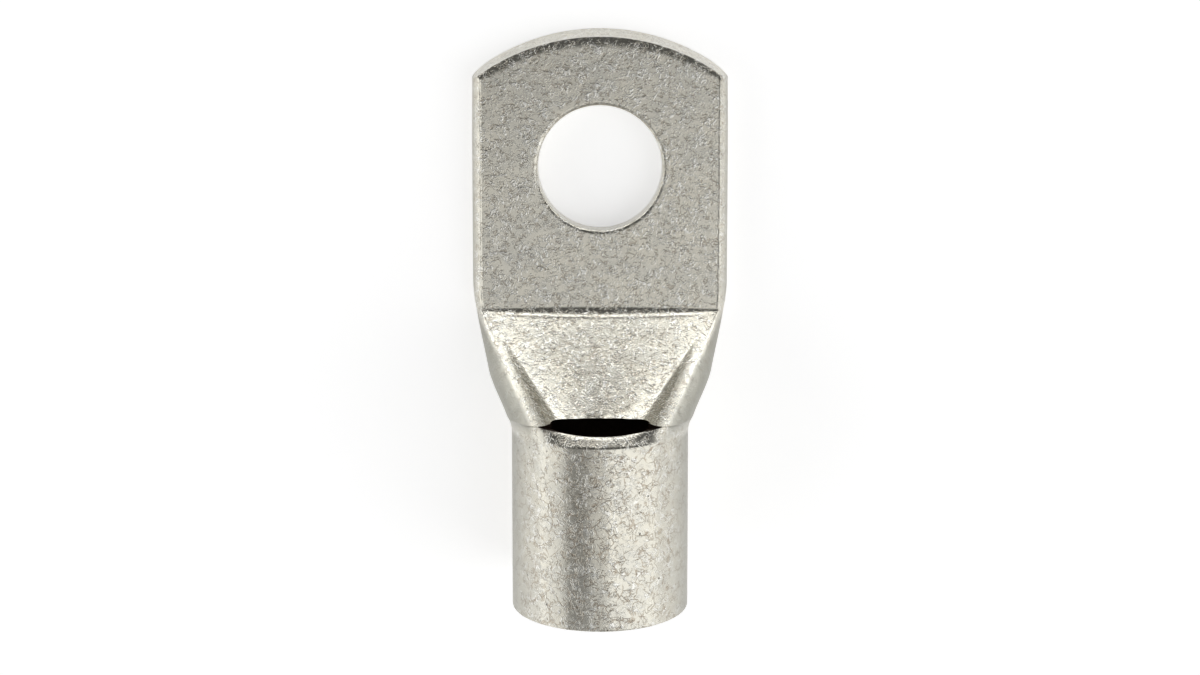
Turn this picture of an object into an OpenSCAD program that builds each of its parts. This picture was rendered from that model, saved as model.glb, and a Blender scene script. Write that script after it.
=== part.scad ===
// Tubular cable lug with a sight window, pressed from one length of thick tube.
// The lug lies on its contact face: the stud hole's axis is +Z, the barrel opens towards -Y.
// The origin is the centre of the stud hole, in the plane of the contact face.
// Inside the functions a station is the distance along the lug from the mouth of the barrel.

/* [Barrel] */
// Outside diameter of the tube
barrel_od = 14.5; // [13.5:0.1:15.5]
// Wall thickness of the tube
wall = 1.5; // [1.3:0.05:1.5]
// Station of the sheared lip, where the sight window opens
barrel_len = 15.5; // [14.5:0.1:17]
// Chamfer inside the mouth, which guides the strands in
mouth_chamfer = 0.35; // [0.1:0.05:0.5]
// How far the lip is drawn down towards the window
lip_drop = 0.45; // [0.2:0.05:0.6]
// Length over which the lip rounds over
lip_run = 0.85; // [0.6:0.05:0.95]

/* [Sight window] */
// Gap along the lug between the middle of the lip and the edge of the pressed-in panel
shear_gap = 0.6; // [0.6:0.05:0.8]
// How much further along the lip runs at the window's corners than in the middle
lip_bow = 0.5; // [0.1:0.05:0.5]
// How far the lip's sheared face leans back, from its outer to its inner edge
lip_undercut = 0.4; // [0.2:0.05:0.6]
// Half of the window's width, out to the crown of each fold
window_half = 4.9; // [4.5:0.1:5.2]
// Height of the panel's edge above the contact face
panel_edge_z = 10; // [9.5:0.1:10.5]
// How far the panel's edge dips between the folds
panel_dish = 0.35; // [0.1:0.05:0.6]
// Distance across the panel's edge over which each fold runs down to it
fold_run_at_window = 1.6; // [1.3:0.1:1.8]

/* [Palm] */
// Length over all
lug_len = 47.5; // [46:0.5:52]
// Width of the palm
palm_w = 21.6; // [21:0.1:23]
// Thickness of the two flattened walls together
palm_t = 2.8; // [2.6:0.1:3]
// Half length of the small fillet in the crease, at mid-width
crease_blend = 0.35; // [0.2:0.05:0.45]
// Width of the face that the die leaves flat
face_w = 20.1; // [19.5:0.1:20.5]
// Station of the crease between the neck and the palm
crease_at = 23.8; // [23.4:0.1:25]
// Radius that the palm's end is sheared to
end_r = 17; // [15:0.5:18]
// Lean of the sheared end, in degrees
end_lean = 15.4; // [5:0.1:18]

/* [Stud hole] */
// Stud hole diameter
stud_d = 10.5; // [8.4:0.1:13]
// From the palm's tip to the centre of the stud hole
stud_from_tip = 11.7; // [11:0.1:13]
// Width of the edge that the punch draws in on the face side
punch_draw = 0.36; // [0.1:0.02:0.5]

/* [Hidden] */
$fn = 96;

barrel_r = barrel_od / 2;
bore_r = barrel_r - wall;
stud_at = lug_len - stud_from_tip;
panel_at = barrel_len + shear_gap;
// Angle round the barrel, from its side, at which the window's corners stand
corner_angle = acos(window_half / barrel_r);
corner_z = barrel_r + barrel_r * sin(corner_angle);
// Where the sides begin to swell, where the quick swell ends and where the palm's full width is reached
swell_from = barrel_len - 1;
swell_to = barrel_len + 3.7;
taper_to = crease_at + 2.5;
// Share of the widening that the quick swell makes
swell_share = 0.36;
// How fast the radius of the lower corners and the height of the folds fall along the neck
corner_fall = 1.3;
crown_fall = 2;
// How squarely the side turns over into the fold, at the window and at the crease
shoulder_at_window = 0.42;
shoulder_at_crease = 0.25;
// Lengths of the curves' handles on the side, at the crown and at the foot of the fold
side_handle = 0.6;
crown_handle = 0.6;
foot_handle = 0.4;
// How far the edges of the window turn in through the tube's wall
window_depth = wall + 0.1;
// The neck's skin starts just inside the end of the plain barrel
tuck = 0.007;
tuck_overlap = 0.3;
plain_len = swell_from - 0.5;
// Radius of the palm's rounded sides
side_r = 1.4;
// The hollow under the panel starts inside the bore and ends where the two walls meet
hollow_from = barrel_len - 0.3;
hollow_ledge = 0.05;
bore_to = panel_at + 0.05;
hollow_to = crease_at - 0.6;
hollow_end_gap = 0.12;
// Height of the sloping wall above the hollow, as a share of the tube's wall
slope_share = 1.35;
// Depth of the edge that the punch draws in, as a share of its width
draw_share = 0.8;
// Points round a half section: lower corner, side, fold and panel
corner_n = 10;
side_n = 8;
fold_n = 8;
panel_n = 4;
// Length by which a cutter passes the surface that it leaves
over = 1;

function mix(a, b, k) = a + (b - a) * k;
function clamp01(k) = min(1, max(0, k));
function ease(from, to, s) = let (k = clamp01((s - from) / (to - from))) k * k * (3 - 2 * k);
function bezier(p, k) =
    pow(1 - k, 3) * p[0] + 3 * pow(1 - k, 2) * k * p[1] + 3 * (1 - k) * k * k * p[2] + k * k * k * p[3];

// How far along the neck a station is: 0 at the panel's edge, 1 at the crease
function along(s) = clamp01((s - panel_at) / (crease_at - panel_at));
// Half width of the lug
function half_w(s) =
    mix(barrel_r, palm_w / 2, mix(ease(swell_from, taper_to, s), ease(swell_from, swell_to, s), swell_share));
// Height of the widest point, which is also the radius of the corner below it
function side_h(s) = mix(side_r, barrel_r, pow(1 - along(s), corner_fall));
// Half width of the flat underside
function flat_w(s) = max(half_w(s) - side_h(s), 0.1);
// Height of the panel, which falls evenly to the palm and has a small fillet in the crease
function panel_z(s, blend = 0.1) =
    let (slope = (panel_edge_z - palm_t) / (crease_at - panel_at), before = crease_at - s)
    palm_t + slope * (before > blend ? before : pow(max(before + blend, 0), 2) / (4 * blend));
// Crown of the fold beside the panel: it stands above the panel most at the window's corner
function crown_x(s) =
    mix(mix(window_half, face_w / 2 - 0.1, along(s)), face_w / 2, ease(crease_at, crease_at + 2, s));
function crown_z(s) = panel_z(s) + (corner_z - panel_edge_z) * pow(1 - along(s), crown_fall);
// Run of the fold from its crown down to the edge of the panel
function fold_run(s) = mix(fold_run_at_window, 0.5, along(s));
// The lip curves towards the palm at its ends
function bow(s) = lip_bow * ease(swell_from, barrel_len, s);

// Half sections are lists of [x, height, shift along the lug], from the underside up to mid-width
function lower_corner(s) = [for (i = [0 : corner_n]) let (a = 90 * i / corner_n)
    [flat_w(s) + (half_w(s) - flat_w(s)) * sin(a), side_h(s) * (1 - cos(a)), 0]];

// Closed round section, up to the lip of the window
function round_half(s) =
    let (k = clamp01((s - barrel_len + lip_run) / lip_run),
         drop = lip_drop * (1 - sqrt(1 - k * k)))
    concat(lower_corner(s),
        [for (i = [1 : side_n]) let (a = corner_angle * i / side_n)
            [half_w(s) * cos(a), barrel_r + barrel_r * sin(a), bow(s) * pow(i / side_n, 2)]],
        [for (i = [1 : fold_n + panel_n])
            let (a = mix(corner_angle, 90, i / (fold_n + panel_n)),
                 x = half_w(s) * cos(a),
                 r = 1 - drop / barrel_r * ease(corner_angle - 5, 65, a))
            [x * r, barrel_r + barrel_r * sin(a) * r, bow(s) * pow(x / window_half, 2)]]);

// Inner edge of the window, where the points between its corners turn in through the wall and lean back
function turned_in(half, lean) =
    [for (i = [0 : len(half) - 1]) let (p = half[i], in = 1 - window_depth / barrel_r)
        i <= corner_n + side_n ? p : [p.x * in, barrel_r + (p.y - barrel_r) * in, p.z - lean]];

// Section with the panel pressed in between two folds
function pressed_half(s) =
    let (w = half_w(s), h = side_h(s), cx = crown_x(s), cz = crown_z(s), run = fold_run(s),
         px = cx - run, rise = panel_dish * (1 - along(s)), edge = panel_z(s) + rise,
         shoulder = mix(shoulder_at_window, shoulder_at_crease, along(s)), foot = run * foot_handle,
         side = [[w, h], [w, mix(h, cz, side_handle)], [mix(cx, w, shoulder), cz], [cx, cz]],
         fold = [[cx, cz], [cx - run * crown_handle, cz], [px + foot, edge + foot * 2 * rise / px], [px, edge]])
    concat(lower_corner(s),
        [for (i = [1 : side_n]) concat(bezier(side, i / side_n), 0)],
        [for (i = [1 : fold_n]) concat(bezier(fold, i / fold_n), 0)],
        [for (i = [1 : panel_n]) let (x = px * (1 - i / panel_n))
            [x, panel_z(s, mix(crease_blend, 0.1, pow(x / px, 2))) + rise * pow(x / px, 2), 0]]);

// Hollow that goes on from the bore, under the panel
function hollow_half(s) =
    let (h = side_h(s), top = mix(panel_edge_z - wall * slope_share, wall + hollow_end_gap,
             clamp01((s - panel_at) / (hollow_to - panel_at))),
         to = acos((h - top) / (h - wall)))
    [for (i = [0 : corner_n]) let (a = to * i / corner_n)
        [flat_w(s) + (half_w(s) - flat_w(s) - wall) * sin(a), h - (h - wall) * cos(a), 0]];

// Whole ring from a half section that ends at mid-width or at a flat top
function ring(half, s, scale = 1) =
    let (axis = [0, barrel_r],
         right = [for (p = half) [p.x * scale, s - stud_at + p.z, axis.y + (p.y - axis.y) * scale]],
         left = [for (i = [len(half) - 1 : -1 : 0]) if (right[i].x > 1e-6) [-right[i].x, right[i].y, right[i].z]])
    concat(right, left);

// Skin over rings of equal length, which may share some of their points
module skin(rings) {
    n = len(rings[0]);
    points = [for (r = rings) each r];
    sides = [for (j = [0 : len(rings) - 2], i = [0 : n - 1])
        let (a = j * n + i, b = j * n + (i + 1) % n)
        each [[a, b, b + n], [a, b + n, a + n]]];
    kept = [for (t = sides)
        if (points[t[0]] != points[t[1]] && points[t[1]] != points[t[2]] && points[t[2]] != points[t[0]]) t];
    ends = [[for (i = [n - 1 : -1 : 0]) i], [for (i = [0 : n - 1]) (len(rings) - 1) * n + i]];
    polyhedron(points, concat(kept, ends), convexity = 6);
}

module at_mouth() {
    translate([0, -stud_at, barrel_r]) rotate([-90, 0, 0]) children();
}

module barrel() {
    at_mouth() cylinder(r = barrel_r, h = plain_len + tuck_overlap);
}

// Neck and palm, before the holes and the trim of the end
module pressed_tube() {
    lip_steps = 5;
    neck_steps = 18;
    rings = concat(
        [for (s = [plain_len, plain_len + tuck_overlap]) ring(round_half(s), s, 1 - tuck)],
        [ring(round_half(swell_from), swell_from)],
        [for (i = [0 : lip_steps]) let (s = barrel_len - lip_run * (1 - sin(90 * i / lip_steps)))
            ring(round_half(s), s)],
        [ring(turned_in(round_half(barrel_len), lip_undercut), barrel_len)],
        [ring(turned_in(pressed_half(panel_at), 0), panel_at)],
        [for (i = [0 : neck_steps]) let (s = mix(panel_at, crease_at - crease_blend, i / neck_steps))
            ring(pressed_half(s), s)],
        [for (d = [-0.6, -0.2, 0.2, 0.6, 1]) let (s = crease_at + crease_blend * d) ring(pressed_half(s), s)],
        [for (d = [0.9, 1.4, 2.4, 3.4, 4.5, lug_len + over - crease_at]) let (s = crease_at + d)
            ring(pressed_half(s), s)]);
    skin(rings);
}

module bore() {
    at_mouth() {
        cylinder(r = bore_r, h = bore_to);
        translate([0, 0, -over]) cylinder(r = bore_r - hollow_ledge, h = over);
        cylinder(r1 = bore_r + mouth_chamfer, r2 = bore_r - hollow_ledge, h = mouth_chamfer + hollow_ledge);
    }
}

module hollow() {
    steps = 9;
    skin(concat(
        [for (s = [hollow_from, bore_to]) ring(hollow_half(s), s, 1 - hollow_ledge / bore_r)],
        [for (i = [1 : steps]) let (s = mix(bore_to, hollow_to, i / steps)) ring(hollow_half(s), s)]));
}

module stud_hole() {
    translate([0, 0, -over]) cylinder(d = stud_d, h = palm_t + 2 * over);
    draw_n = 4;
    rotate_extrude() polygon(concat(
        [[0, palm_t + over], [0, palm_t - punch_draw]],
        [for (i = [0 : draw_n]) let (a = 90 * i / draw_n)
            [stud_d / 2 - 0.01 + punch_draw * (1 - cos(a)), palm_t - punch_draw * draw_share * (1 - sin(a))]],
        [[stud_d / 2 + punch_draw, palm_t + over]]));
}

// What the shear leaves of the palm: the inside of a leaning cylinder
module end_shear() {
    reach = lug_len;
    translate([0, lug_len - stud_at, 0]) rotate([end_lean, 0, 0]) difference() {
        translate([-palm_w, -end_r, -over * 2]) cube([palm_w * 2, end_r + reach, palm_t + 4 * over]);
        translate([0, -end_r, -over * 3]) cylinder(r = end_r, h = palm_t + 6 * over);
    }
}

module lug_body() {
    color([0.70, 0.69, 0.64]) difference() {
        union() {
            barrel();
            pressed_tube();
        }
        bore();
        hollow();
        stud_hole();
        end_shear();
    }
}

lug_body();
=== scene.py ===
import math
import bpy
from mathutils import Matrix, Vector


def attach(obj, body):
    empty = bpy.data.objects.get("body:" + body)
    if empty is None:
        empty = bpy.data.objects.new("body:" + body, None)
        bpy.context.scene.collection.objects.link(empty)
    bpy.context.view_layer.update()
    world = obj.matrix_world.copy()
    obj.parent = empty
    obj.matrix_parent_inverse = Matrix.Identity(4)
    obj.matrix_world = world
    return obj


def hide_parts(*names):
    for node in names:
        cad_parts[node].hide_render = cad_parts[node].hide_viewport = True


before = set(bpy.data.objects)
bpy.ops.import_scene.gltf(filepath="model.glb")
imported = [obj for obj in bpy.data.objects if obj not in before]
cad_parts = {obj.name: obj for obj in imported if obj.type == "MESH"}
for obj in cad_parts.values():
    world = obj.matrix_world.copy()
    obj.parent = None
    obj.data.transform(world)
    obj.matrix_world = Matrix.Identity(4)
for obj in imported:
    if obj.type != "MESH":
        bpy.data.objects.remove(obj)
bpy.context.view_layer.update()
scene = bpy.context.scene
millimetre = 0.001


class Wire:
    # one socket of a node tree, so that arithmetic on it adds the Math nodes
    def __init__(self, tree, socket=None):
        self.tree = tree
        self.socket = socket

    def add(self, kind, settings=None, sockets=(), out=0):
        node = self.tree.nodes.new(kind)
        count = len(self.tree.nodes)
        node.location = (count % 24 * 190, count // 24 * -260)
        for name, value in (settings or {}).items():
            setattr(node, name, value)
        pairs = sockets.items() if isinstance(sockets, dict) else enumerate(sockets)
        for key, value in pairs:
            for each in value if isinstance(value, list) else [value]:
                if isinstance(each, Wire):
                    self.tree.links.new(each.socket, node.inputs[key])
                elif each is not None:
                    node.inputs[key].default_value = each
        return Wire(self.tree, node.outputs[out])

    def other(self, name):
        return Wire(self.tree, self.socket.node.outputs[name])

    def math(self, operation, *values):
        return self.add("ShaderNodeMath", {"operation": operation}, values)

    def __add__(self, value):
        return self.math("ADD", self, value)

    def __radd__(self, value):
        return self.math("ADD", value, self)

    def __sub__(self, value):
        return self.math("SUBTRACT", self, value)

    def __rsub__(self, value):
        return self.math("SUBTRACT", value, self)

    def __mul__(self, value):
        return self.math("MULTIPLY", self, value)

    def __rmul__(self, value):
        return self.math("MULTIPLY", value, self)

    def __truediv__(self, value):
        return self.math("DIVIDE", self, value)

    def __rtruediv__(self, value):
        return self.math("DIVIDE", value, self)

    def __pow__(self, value):
        return self.math("POWER", self, value)

    def __gt__(self, value):
        return self.math("GREATER_THAN", self, value)

    def __lt__(self, value):
        return self.math("LESS_THAN", self, value)

    def __abs__(self):
        return self.math("ABSOLUTE", self)


def mix(a, b, share):
    return a + (b - a) * share


def ramp(value, low, high):  # 0 below low, 1 above high, straight between them
    return value.add("ShaderNodeMapRange", {}, [value, low, high, 0, 1])


def ease(value, low, high):  # the same with soft ends
    return value.add("ShaderNodeMapRange", {"interpolation_type": "SMOOTHSTEP"}, [value, low, high, 0, 1])


def root(value):
    return value.math("SQRT", value)


def larger(a, b):
    return a.math("MAXIMUM", a, b)


def smaller(a, b):
    return a.math("MINIMUM", a, b)


def sine(angle):
    return angle.math("SINE", angle)


def cosine(angle):
    return angle.math("COSINE", angle)


def bell(value, width):  # a soft ridge, 1 at value 0
    return value.math("EXPONENT", 0 - (value / width) ** 2)


def noise(place, scale, detail=2, out="Fac", **more):
    sockets = {"Vector": place, "Scale": scale, "Detail": detail}
    sockets.update({name.title(): value for name, value in more.items()})
    return place.add("ShaderNodeTexNoise", {}, sockets, out)


def moved(place, step):
    return place.add("ShaderNodeVectorMath", {"operation": "ADD"}, [place, step])


def scaled(vector, factor):
    return vector.add("ShaderNodeVectorMath", {"operation": "SCALE"}, {0: vector, "Scale": factor})


def tint(share, a, b):  # colour a where share is 0, colour b where it is 1
    return share.add("ShaderNodeMix", {"data_type": "RGBA"}, {0: share, 6: a, 7: b}, 2)


def point(x, y, z):
    wire = next(w for w in (x, y, z) if isinstance(w, Wire))
    return wire.add("ShaderNodeCombineXYZ", {}, [x, y, z])


def geometryTree(name, sizes):  # a tree with one named input for each size
    tree = bpy.data.node_groups.new(name, "GeometryNodeTree")
    tree.interface.new_socket(name="Geometry", in_out="INPUT", socket_type="NodeSocketGeometry")
    for label, value in sizes.items():
        kind = "NodeSocketInt" if isinstance(value, int) else "NodeSocketFloat"
        tree.interface.new_socket(name=label, in_out="INPUT", socket_type=kind).default_value = value
    tree.interface.new_socket(name="Geometry", in_out="OUTPUT", socket_type="NodeSocketGeometry")
    start = Wire(tree).add("NodeGroupInput")
    return tree, start


def builtMesh(name, source, tree, sizes):  # the plain mesh that a tree makes from a source object
    modifier = source.modifiers.new(tree.name, "NODES")
    modifier.node_group = tree
    for item in tree.interface.items_tree:
        if item.in_out == "INPUT" and item.name in sizes:
            modifier[item.identifier] = sizes[item.name]
    bpy.context.view_layer.update()
    evaluated = source.evaluated_get(bpy.context.evaluated_depsgraph_get())
    mesh = bpy.data.meshes.new_from_object(evaluated)
    source.modifiers.clear()
    bpy.data.objects.remove(source)
    piece = bpy.data.objects.new(name, mesh)
    scene.collection.objects.link(piece)
    return piece


# the pressed tube: barrel, neck and palm in one skin, then its holes and its sheared end

lugSizes = {  # millimetres, degrees, shares and powers; stations count from the barrel's mouth
    "Barrel diameter": 14.5,
    "Wall": 1.5,
    "Barrel length": 15.5,
    "Mouth chamfer": 0.35,
    "Mouth rounding": 0.14,
    "Lip run": 0.85,
    "Lip slope": 0.95,
    "Lip bow": 0.5,
    "Lip undercut": 0.4,
    "Shear gap": 0.6,
    "Window half width": 4.9,
    "Panel edge height": 10.0,
    "Panel dish": 0.35,
    "Fold run": 1.6,
    "Crease": 23.8,
    "Crease blend": 0.35,
    "Rib height": 0.02,
    "Rim roughness": 0.35,
    "Palm width": 21.6,
    "Palm thickness": 2.8,
    "Face width": 20.1,
    "Side radius": 1.4,
    "Length": 47.5,
    "End radius": 17.6,
    "End lean": 15.4,
    "Stud from tip": 11.7,
    "Stud hole": 10.5,
    "Punch draw": 0.36,
    "Burr height": 0.07,
    "Roll depth": 0.14,
    "Roll width": 0.8,
    "Roll width at side": 0.35,
    "Tip narrowing": 0.06,
    "Lip corner": 0.25,
    "Lip curl": 1.2,
    "Quick swell": 3.7,
    "Slow swell": 2.5,
    "Quick share": 0.36,
    "Corner fall": 1.3,
    "Crown fall": 2.0,
    "Fold run at crease": 0.5,
    "Fillet at edge": 0.1,
    "Shoulder at window": 0.42,
    "Shoulder at crease": 0.25,
    "Side handle": 0.6,
    "Crown handle": 0.6,
    "Foot handle": 0.4,
    "Hollow ceiling": 1.35,
    "Hollow stops before": 0.6,
    "Hollow end gap": 0.12,
    "Cutter ledge": 0.05,
    "Depth past wall": 0.1,
    "Seed": 4,
}

# how many rows of faces each stretch of the tube gets, and each part of half its section
lugRows = {"rim": 5, "barrel": 44, "lip": 28, "shear": 3, "gap": 1, "face": 3, "edge": 12, "neck": 44,
           "crease": 30, "palm": 64, "end": 40}
lugColumns = {"flat": 8, "corner": 14, "side": 14, "fold": 26, "panel": 24}


def lugTree():
    tree, start = geometryTree("pressedTube", lugSizes)
    size = {label: start.other(label) for label in lugSizes}
    w = Wire(tree)
    barrelR = size["Barrel diameter"] / 2
    lip = size["Barrel length"]
    swellFrom = lip - 1
    panelAt = lip + size["Shear gap"]
    crease = size["Crease"]
    palmT = size["Palm thickness"]
    studAt = size["Length"] - size["Stud from tip"]
    halfWindow = size["Window half width"]
    cornerAngle = w.math("ARCCOSINE", halfWindow / barrelR)
    endLean = w.math("TANGENT", size["End lean"] * (math.pi / 180))

    # an even tube of faces, whose rows and columns become stations and places round the section
    rows = sum(lugRows.values())
    columns = sum(lugColumns.values())
    blank = w.add("GeometryNodeMeshCylinder", {"fill_type": "NGON"},
                  {"Vertices": columns * 2, "Side Segments": rows, "Radius": 1, "Depth": 1})
    axes = w.add("ShaderNodeSeparateXYZ", {}, [w.add("GeometryNodeInputPosition")])
    turn = w.math("ARCTAN2", axes.other("Y"), axes.other("X"))
    side = w.math("SIGN", turn)
    column = (1 - abs(turn) / math.pi) * columns
    row = (axes.other("Z") + 0.5) * rows

    stretches = {
        "rim": size["Mouth rounding"],
        "barrel": swellFrom - size["Mouth rounding"],
        "lip": lip - swellFrom,
        "shear": 0,
        "gap": size["Shear gap"],
        "face": 0,
        "edge": 0.7,
        "neck": crease - panelAt - 1.5,
        "crease": 2.0,
        "palm": size["Length"] - crease - 1.2 - 5.5,
        "end": 6.5,
    }
    s = 0  # the station of a row
    done = 0
    for name, count in lugRows.items():
        s = s + w.add("ShaderNodeMapRange", {}, [row, done, done + count, 0, stretches[name]])
        done += count
    share = {}
    done = 0
    for name, count in lugColumns.items():
        share[name] = ramp(column, done, done + count)
        done += count

    # sizes that change along the lug
    def widthAt(run):
        quick = ease(run, swellFrom, lip + size["Quick swell"])
        slow = ease(run, swellFrom, crease + size["Slow swell"])
        return mix(barrelR, size["Palm width"] / 2, mix(slow, quick, size["Quick share"]))

    def cornerAt(run):
        fall = (1 - ramp(run, panelAt, crease)) ** size["Corner fall"]
        return mix(size["Side radius"], barrelR, fall)

    along = ramp(s, panelAt, crease)
    slope = (size["Panel edge height"] - palmT) / (crease - panelAt)
    before = crease - s
    halfW = widthAt(s) - size["Tip narrowing"] * ease(s, 37, 46)
    sideH = cornerAt(s)
    flatW = larger(halfW - sideH, 0.0001)
    crownX = mix(mix(halfWindow, size["Face width"] / 2 - 0.1, along), size["Face width"] / 2,
                 ease(s, crease, crease + 2))
    run = mix(size["Fold run"], size["Fold run at crease"], along)
    panelX = crownX - run
    bow = size["Lip bow"] * ease(s, swellFrom, lip)

    def slopeZ(blend):  # the panel falls evenly to the palm, with a small fillet in the crease
        soft = larger(smaller(before + blend, blend * 2), 0) ** 2 / (blend * 4) + larger(before - blend, 0)
        return palmT + slope * soft

    def topZ(x):  # height of the panel and of the palm's face
        blend = mix(size["Crease blend"], size["Fillet at edge"], (x / panelX) ** 2)
        dish = size["Panel dish"] * (1 - along) * (x / panelX) ** 2
        rib = size["Rib height"] * bell(before - blend - 0.16, 0.08) * (1 - ease(x, 7, 9.6))
        edge = ramp(s, panelAt + 0.42, panelAt) ** 2
        rough = noise(point(x * side, s * 0.4, size["Seed"]), 2.6, 3) - 0.5
        return slopeZ(blend) + dish + rib + edge * rough * size["Rim roughness"]

    crownRise = barrelR + barrelR * sine(cornerAngle) - size["Panel edge height"]
    crownZ = slopeZ(size["Fillet at edge"]) + crownRise * (1 - along) ** size["Crown fall"]

    # half of the pressed section, from the middle of the underside to the middle of the face
    def curve(a, b, c, d, k):
        j = 1 - k
        return j ** 3 * a + 3 * j ** 2 * k * b + 3 * j * k ** 2 * c + k ** 3 * d

    quarter = share["corner"] * (math.pi / 2)
    hug = mix(size["Shoulder at window"], size["Shoulder at crease"], along)
    foot = run * size["Foot handle"]
    underX = flatW * share["flat"] + (halfW - flatW) * sine(quarter)
    underZ = sideH * (1 - cosine(quarter))
    px = underX + curve(halfW, halfW, mix(crownX, halfW, hug), crownX, share["side"]) - halfW
    px = px + curve(crownX, crownX - run * size["Crown handle"], panelX + foot, panelX,
                    share["fold"]) - crownX
    px = px - panelX * share["panel"]
    edgeZ = topZ(panelX)
    pitch = 2 * size["Panel dish"] * (1 - along) / panelX
    pz = underZ + curve(sideH, mix(sideH, crownZ, size["Side handle"]), crownZ, crownZ,
                        share["side"]) - sideH
    pz = pz + curve(crownZ, crownZ, edgeZ + foot * pitch, edgeZ, share["fold"]) - crownZ
    pz = pz + (topZ(panelX * (1 - share["panel"])) - edgeZ) * (share["panel"] > 0)

    # the palm's face is drawn down at its sheared end, and a burr runs along both of its sides
    arcAt = size["Length"] - size["End radius"] - palmT * endLean
    inside = size["End radius"] - root(px ** 2 + (s - arcAt) ** 2)
    rollWidth = mix(size["Roll width"], size["Roll width at side"], (px / 10) ** 2)
    roll = size["Roll depth"] * larger(1 - inside / rollWidth, 0) ** 2
    top = ramp(share["side"], 0.7, 1)
    pz = pz - smaller(roll, 0.5) * top * (s > crease + 3)
    crumbs = noise(point(s, side * 9, size["Seed"]), 1.7, 4, roughness=0.7)
    burr = size["Burr height"] * ramp(crumbs, 0.3, 0.62) * bell(px - crownX + 0.04 * crumbs, 0.07)
    pz = pz + burr * ease(s, crease - 0.3, crease + 0.6) * top

    # the round section, whose lip is bent down over the window
    bent = s - (lip - size["Lip run"])
    corner = size["Lip run"] * size["Lip corner"]  # a soft corner, a straight middle and a curled tail
    drop = larger(smaller(bent, corner), 0) ** 2 / (corner * 2) + larger(bent - corner, 0)
    drop = drop + larger(bent - corner * 3, 0) ** 2 * size["Lip curl"]
    upper = (share["fold"] * lugColumns["fold"] + share["panel"] * lugColumns["panel"]) / (
        lugColumns["fold"] + lugColumns["panel"])
    reach = cornerAngle * share["side"] + (math.pi / 2 - cornerAngle) * upper
    lowered = 1 - size["Lip slope"] * drop / barrelR * ease(reach, cornerAngle - 0.14, cornerAngle + 0.4)
    rim = size["Mouth rounding"]
    shrink = 1 - (rim - root(larger(rim ** 2 - larger(rim - s, 0) ** 2, 0))) / barrelR
    above = share["side"] > 0
    rx = mix(underX, halfW * cosine(reach) * lowered, above)
    rz = mix(underZ, barrelR + barrelR * sine(reach) * lowered, above)
    shift = bow * (share["side"] * smaller(rx / halfWindow, 1)) ** 2
    rx = rx * shrink
    rz = barrelR + (rz - barrelR) * shrink

    # the window's two sheared edges turn in through the tube's wall, and the lip's leans back
    lipRow = lugRows["rim"] + lugRows["barrel"] + lugRows["lip"]
    faceRow = lipRow + lugRows["shear"] + lugRows["gap"]
    faceEnd = faceRow + lugRows["face"]
    overWindow = upper > 0.001
    turned = (ramp(row, lipRow, faceRow - 1) - ramp(row, faceRow, faceEnd)) * overWindow
    inward = 1 - (size["Wall"] + size["Depth past wall"]) / barrelR * turned
    pressed = row > faceRow - 0.5
    x = mix(rx, px, pressed) * inward
    z = barrelR + (mix(rz, pz, pressed) - barrelR) * inward
    y = s - studAt + (shift - size["Lip undercut"] * turned) * (1 - pressed)
    # the window's sheared faces are marked as inner wall, so that the finish paints them dark as shade
    sheared = (row > lipRow) * (row < faceEnd) * overWindow
    blank = w.add("GeometryNodeStoreNamedAttribute", {"data_type": "FLOAT", "domain": "FACE"},
                  {"Geometry": blank, "Name": "innerWall", "Value": sheared})
    skin = w.add("GeometryNodeSetPosition", {}, {"Geometry": blank, "Position": point(x * side, y, z)})
    skin = w.add("GeometryNodeMergeByDistance", {}, {"Geometry": skin, "Distance": 0.0005})

    # cutters: the bore, the hollow that it runs on into, the stud hole and the leaning end
    def cutter(vertices, steps, shape):
        body = w.add("GeometryNodeMeshCylinder", {"fill_type": "NGON"},
                     {"Vertices": vertices, "Side Segments": steps, "Radius": 1, "Depth": 1})
        at = w.add("ShaderNodeSeparateXYZ", {}, [w.add("GeometryNodeInputPosition")])
        placed = shape(w.math("ARCTAN2", at.other("Y"), at.other("X")), (at.other("Z") + 0.5) * steps)
        return w.add("GeometryNodeSetPosition", {}, {"Geometry": body, "Position": placed})

    boreSteps = 32
    hollowSteps = 21
    studSteps = 11
    boreR = barrelR - size["Wall"]
    boreTo = panelAt + size["Cutter ledge"]

    def boreShape(angle, at):
        chamfer = size["Mouth chamfer"]
        run = ramp(at, 0, 1) - 1 + chamfer * ramp(at, 1, 2) + (boreTo - chamfer) * ramp(at, 2, boreSteps)
        radius = boreR + chamfer * (1 - ramp(at, 1, 2))
        return point(radius * sine(angle), run - studAt, barrelR + radius * cosine(angle))

    def hollowShape(angle, at):
        reach = crease - size["Hollow stops before"]
        run = mix(lip - 0.3, boreTo, ramp(at, 0, 1)) + (reach - boreTo) * ramp(at, 1, hollowSteps)
        sink = cornerAt(run)
        half = widthAt(run)
        flat = larger(half - sink, 0.0001)
        ceiling = mix(size["Panel edge height"] - size["Wall"] * size["Hollow ceiling"],
                      size["Wall"] + size["Hollow end gap"], ramp(run, panelAt, reach))
        inset = 1 - size["Cutter ledge"] / boreR * (1 - ramp(at, 1, 2))
        h = 1 - abs(angle) / math.pi
        quarter = ramp(h, 0.1, 0.6) * w.math("ARCCOSINE", (sink - ceiling) / (sink - size["Wall"]))
        across = flat * ramp(h, 0, 0.1) + (half - flat - size["Wall"]) * sine(quarter)
        across = across * (1 - ramp(h, 0.6, 1)) * inset
        height = sink - (sink - size["Wall"]) * cosine(quarter)
        height = barrelR + (height - barrelR) * inset
        return point(across * w.math("SIGN", angle), run - studAt, height)

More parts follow.
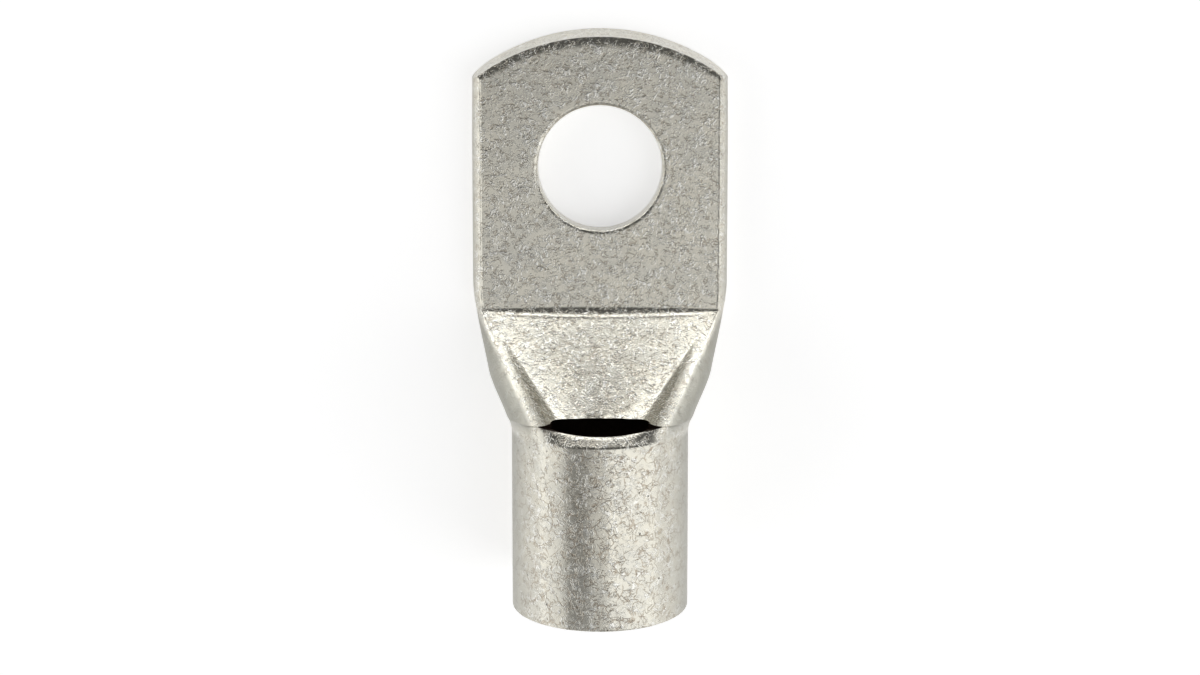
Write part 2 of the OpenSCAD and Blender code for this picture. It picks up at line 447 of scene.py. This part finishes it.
    def studShape(angle, at):
        draw = size["Punch draw"]
        drawn = draw * 0.8  # how far down the punch pulls the hole's rounded rim
        bend = ramp(at, 2, studSteps - 1) * (math.pi / 2)
        radius = size["Stud hole"] / 2 + draw * (1 - cosine(bend))
        height = ramp(at, 0, 1) - 1 + (palmT - drawn) * ramp(at, 1, 2) + drawn * sine(bend)
        height = height + ramp(at, studSteps - 1, studSteps)
        return point(radius * cosine(angle), radius * sine(angle), height)

    def endShape(angle, at):
        height = mix(-2, 18, ramp(at, 0, 1))  # from under the lug to above its barrel
        back = sine(angle) < 0
        lean = height * endLean
        reach = mix(size["End radius"], 45, back)  # the back half passes the barrel's mouth
        away = (sine(angle) * reach + size["Length"] - size["End radius"] - studAt
                - lean * (1 - back))
        return point(size["End radius"] * cosine(angle), away, height)

    inner = w.add("GeometryNodeMeshBoolean", {"operation": "UNION", "solver": "MANIFOLD"},
                  {"Mesh 2": [cutter(160, boreSteps, boreShape), cutter(120, hollowSteps, hollowShape)]})
    # the bore's and hollow's faces are marked as inner wall, so that the finish paints them dark as shade
    inner = w.add("GeometryNodeStoreNamedAttribute", {"data_type": "FLOAT", "domain": "FACE"},
                  {"Geometry": inner, "Name": "innerWall", "Value": 1.0})
    kept = w.add("GeometryNodeMeshBoolean", {"operation": "INTERSECT", "solver": "MANIFOLD"},
                 {"Mesh 2": [skin, cutter(360, 1, endShape)]})
    lug = w.add("GeometryNodeMeshBoolean", {"operation": "DIFFERENCE", "solver": "MANIFOLD"},
                {"Mesh 1": kept, "Mesh 2": [inner, cutter(200, studSteps, studShape)]})
    lug = w.add("GeometryNodeMergeByDistance", {}, {"Geometry": lug, "Distance": 0.002})
    lug = w.add("GeometryNodeTransform", {}, {"Geometry": lug, "Scale": (millimetre,) * 3})
    lug = w.add("GeometryNodeSetShadeSmooth", {"domain": "FACE"}, {"Geometry": lug, "Shade Smooth": True})
    fold = w.add("GeometryNodeInputMeshEdgeAngle")
    lug = w.add("GeometryNodeSetShadeSmooth", {"domain": "EDGE"},
                {"Geometry": lug, "Selection": fold > 0.55, "Shade Smooth": False})
    lug = w.add("GeometryNodeRealizeInstances", {}, {"Geometry": lug})
    lug = w.add("GeometryNodeSetMaterial", {}, {"Geometry": lug, "Material": tinnedCopper})
    tree.links.new(lug.socket, tree.nodes.new("NodeGroupOutput").inputs[0])
    return tree


# the finish: dull tin over copper, with curled marks and brown hairlines, painted shade on the flanks and
# painted dark shade inside the bore

finishSizes = {  # colours are linear; lengths are millimetres
    "tin": (0.62, 0.595, 0.515, 1),
    "bright tin": (0.84, 0.84, 0.81, 1),
    "tarnish": (0.30, 0.235, 0.165, 1),
    # painted shade: a darker colour for the flanks, standing in for the dark surroundings that they
    # reflect
    "paintedFlankShade": (0.33, 0.325, 0.285, 1),
    # painted shade: near-black brown for the inner walls, standing in for the shade inside the bore
    "bore": (0.042, 0.028, 0.020, 1),
    "grey tin": (0.60, 0.585, 0.52, 1),
    "pit": (0.06, 0.045, 0.03, 1),
    "mark density": 1.5,
    "mark width": 0.05,
    "mark height": 0.011,
    "hairline density": 1.05,
    "hairline depth": 0.008,
    "pit depth": 0.03,
    "grain height": 0.004,
    "wave height": 0.02,
    # how far the flanks are darkened by painted shade
    "flank share": 0.8,
    "roughness": 0.25,
}


def curls(place, density, width, step):  # short curled lines, 1 on a line
    here = moved(place, (step, step * 1.7, step * 0.6))
    field = noise(here, density, 1, roughness=0.45, distortion=1.1)
    broken = ramp(noise(here, density * 0.8, 0), 0.46, 0.54)
    return (1 - ramp(abs(field - 0.5), width * 0.35, width)) * broken


def tinnedCopperMaterial():
    look = finishSizes
    material = bpy.data.materials.new("tinnedCopper")
    material.use_nodes = True
    tree = material.node_tree
    shader = tree.nodes["Principled BSDF"]
    w = Wire(tree)
    place = scaled(w.add("ShaderNodeTexCoord", out="Object"), 1 / millimetre)
    axes = place.add("ShaderNodeSeparateXYZ", {}, [place])
    across = abs(axes.other("X"))
    s = axes.other("Y") + (lugSizes["Length"] - lugSizes["Stud from tip"])

    # where things are: the barrel, and the flanks outside the folds and the palm's face, which get painted
    # shade
    lip = lugSizes["Barrel length"]
    crease = lugSizes["Crease"]
    onBarrel = ramp(s, lip - 0.4, lip - 1.0)
    crown = mix(lugSizes["Window half width"], lugSizes["Face width"] / 2, ramp(s, lip + 0.6, crease))
    outside = ramp(across - crown, 0.35, 0.8) * ramp(s, lip - 0.6, lip + 0.6)
    paintedFlankShade = larger(outside, onBarrel * ramp(across, 5.2, 7.1) ** 1.5)

    # relief
    cloud = noise(place, 0.45, 3)
    bright = curls(place, look["mark density"], look["mark width"], 3.1)
    dark = curls(place, look["mark density"] * 1.2, look["mark width"], 17.3)
    small = curls(place, look["mark density"] * 2.1, look["mark width"] * 1.5, 41.9)
    grain = noise(place, 9, 2)
    warp = scaled(moved(noise(place, 1.1, 2, "Color"), (-0.5, -0.5, -0.5)), 0.9)
    cracked = moved(place, warp)
    crack = cracked.add("ShaderNodeTexVoronoi", {"feature": "DISTANCE_TO_EDGE"},
                        {"Vector": cracked, "Scale": look["hairline density"]})
    hairline = (1 - ramp(crack, 0.012, 0.05)) * ramp(noise(place, 0.9, 1), 0.44, 0.58)
    dots = place.add("ShaderNodeTexVoronoi", {}, {"Vector": place, "Scale": 1.25})
    pick = dots.other("Color").add("ShaderNodeSeparateColor", {}, [dots.other("Color")])
    pits = (1 - ramp(dots, 0.05, 0.13)) * (pick > 0.72)
    relief = look["mark height"] * (bright - dark + 0.6 * small) + look["grain height"] * (grain - 0.5)
    relief = relief - look["hairline depth"] * hairline * onBarrel
    relief = relief - look["pit depth"] * pits * onBarrel
    relief = relief + look["wave height"] * (cloud - 0.5)

    # colour
    shadeOfTin = 0.86 + 0.28 * noise(moved(place, (9, 4, 2)), 0.7, 4, roughness=0.62)
    colour = scaled(tint(ramp(cloud, 0.35, 0.65), look["tin"], look["grey tin"]), shadeOfTin)
    colour = tint(bright * 0.55 + small * 0.2, colour, look["bright tin"])
    colour = tint(dark * (0.35 + 0.15 * onBarrel), colour, look["tarnish"])
    colour = tint(hairline * (0.1 + 0.5 * onBarrel), colour, look["tarnish"])
    colour = tint(pits * onBarrel * 0.8, colour, look["pit"])
    # painted shade: the flanks are darkened, as if they reflected dark surroundings
    colour = tint(paintedFlankShade * look["flank share"], colour, look["paintedFlankShade"])
    # painted shade: the inner walls are darkened to near-black brown, more so deeper in from the mouth
    inner = w.add("ShaderNodeAttribute", {"attribute_name": "innerWall"}, out="Fac")
    depth = ramp(s, 0.2, 3.5)
    colour = tint(inner * (0.4 + 0.6 * depth), colour, look["bore"])
    roughness = look["roughness"] + 0.10 * (cloud - 0.5) + 0.12 * paintedFlankShade + 0.3 * inner
    bump = w.add("ShaderNodeBump", {}, {"Strength": 1.0, "Distance": millimetre, "Height": relief})

    shader.inputs["Metallic"].default_value = 1.0
    tree.links.new(colour.socket, shader.inputs["Base Color"])
    tree.links.new(roughness.socket, shader.inputs["Roughness"])
    tree.links.new(bump.socket, shader.inputs["Normal"])
    return material


tinnedCopper = tinnedCopperMaterial()
print("finish made")

blankObject = bpy.data.objects.new("blank", bpy.data.meshes.new("blank"))
scene.collection.objects.link(blankObject)
lug = builtMesh("cableLug", blankObject, lugTree(), lugSizes)
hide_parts("lug_body")
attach(lug, "root")
print("lug made:", len(lug.data.vertices), "points,", len(lug.data.polygons), "faces")

# a wide pale floor under soft lamps

floorSizes = {
    "half width": 2.0,
    "paint": (0.88, 0.88, 0.88, 1),
    "glow": 0.55,
}


def floorMaterial():
    material = bpy.data.materials.new("floorPaint")
    material.use_nodes = True
    shader = material.node_tree.nodes["Principled BSDF"]
    shader.inputs["Base Color"].default_value = floorSizes["paint"]
    shader.inputs["Roughness"].default_value = 0.9
    shader.inputs["Specular IOR Level"].default_value = 0.0
    shader.inputs["Emission Color"].default_value = (1, 1, 1, 1)
    # the glow is seen by the camera and in mirrors only
    path = Wire(material.node_tree).add("ShaderNodeLightPath")
    seen = larger(larger(path, path.other("Is Glossy Ray")), path.other("Is Transmission Ray"))
    material.node_tree.links.new((seen * floorSizes["glow"]).socket, shader.inputs["Emission Strength"])
    return material


half = floorSizes["half width"]
corners = [(-half, -half, 0), (half, -half, 0), (half, half, 0), (-half, half, 0)]
floorMesh = bpy.data.meshes.new("floor")
floorMesh.from_pydata(corners, [], [(0, 1, 2, 3)])
floorMesh.materials.append(floorMaterial())
floor = bpy.data.objects.new("floor", floorMesh)
scene.collection.objects.link(floor)
print("floor made")

skySizes = {
    "horizon": 1.0,
    "front": 0.30,
    "back": 0.10,
}


def skyWorld():  # a white horizon under a grey ceiling that is darkest behind the palm
    world = bpy.data.worlds.new("studio")
    world.use_nodes = True
    tree = world.node_tree
    direction = Wire(tree).add("ShaderNodeTexCoord", out="Generated")
    axes = direction.add("ShaderNodeSeparateXYZ", {}, [direction])
    ceiling = mix(skySizes["front"], skySizes["back"], ease(axes.other("Y"), -0.15, 0.2))
    level = mix(skySizes["horizon"], ceiling, ease(axes.other("Z"), 0.12, 0.36))
    tree.links.new(level.socket, tree.nodes["Background"].inputs["Color"])
    return world


scene.world = skyWorld()

lampSettings = {  # metres; a lamp's brightness is what it shows in a mirror
    "right": {"place": (0.42, -0.17, 0.42), "size": (0.46, 0.7), "brightness": 1.15},
    "left": {"place": (-0.56, -0.16, 0.26), "size": (0.7, 0.40), "brightness": 0.85},
    "overhead": {"place": (0.02, -0.13, 0.62), "size": (0.34, 0.36), "brightness": 0.58},
    "low end": {"place": (0, 0.6, 0.06), "size": (0.7, 0.12), "brightness": 2.4},
    "low left": {"place": (-0.5, 0.4, 0.06), "size": (0.6, 0.12), "brightness": 2.4},
    "low right": {"place": (0.5, 0.4, 0.06), "size": (0.6, 0.12), "brightness": 2.4},
}
aim = Vector((0, 0, 0.01))
for name, lamp in lampSettings.items():
    light = bpy.data.lights.new(name, "AREA")
    light.shape = "RECTANGLE"
    light.size = lamp["size"][0]
    light.size_y = lamp["size"][1]
    light.energy = lamp["brightness"] * math.pi * light.size * light.size_y
    lampObject = bpy.data.objects.new(name, light)
    scene.collection.objects.link(lampObject)
    lampObject.location = lamp["place"]
    lampObject.rotation_euler = (Vector(lamp["place"]) - aim).to_track_quat("Z", "Y").to_euler()
    lampObject.visible_camera = False
print("lamps made:", len(lampSettings))

camera = bpy.data.objects.new("camera", bpy.data.cameras.new("camera"))
scene.collection.objects.link(camera)
camera.location = (0, 0.0112, 0.1435)
camera.rotation_euler = (math.radians(-5.57), 0, 0)
camera.data.sensor_width = 36
camera.data.lens = 50.55
camera.data.shift_y = -0.116
camera.data.clip_start = 0.001
scene.camera = camera
scene.view_settings.view_transform = "Standard"
print("camera set")
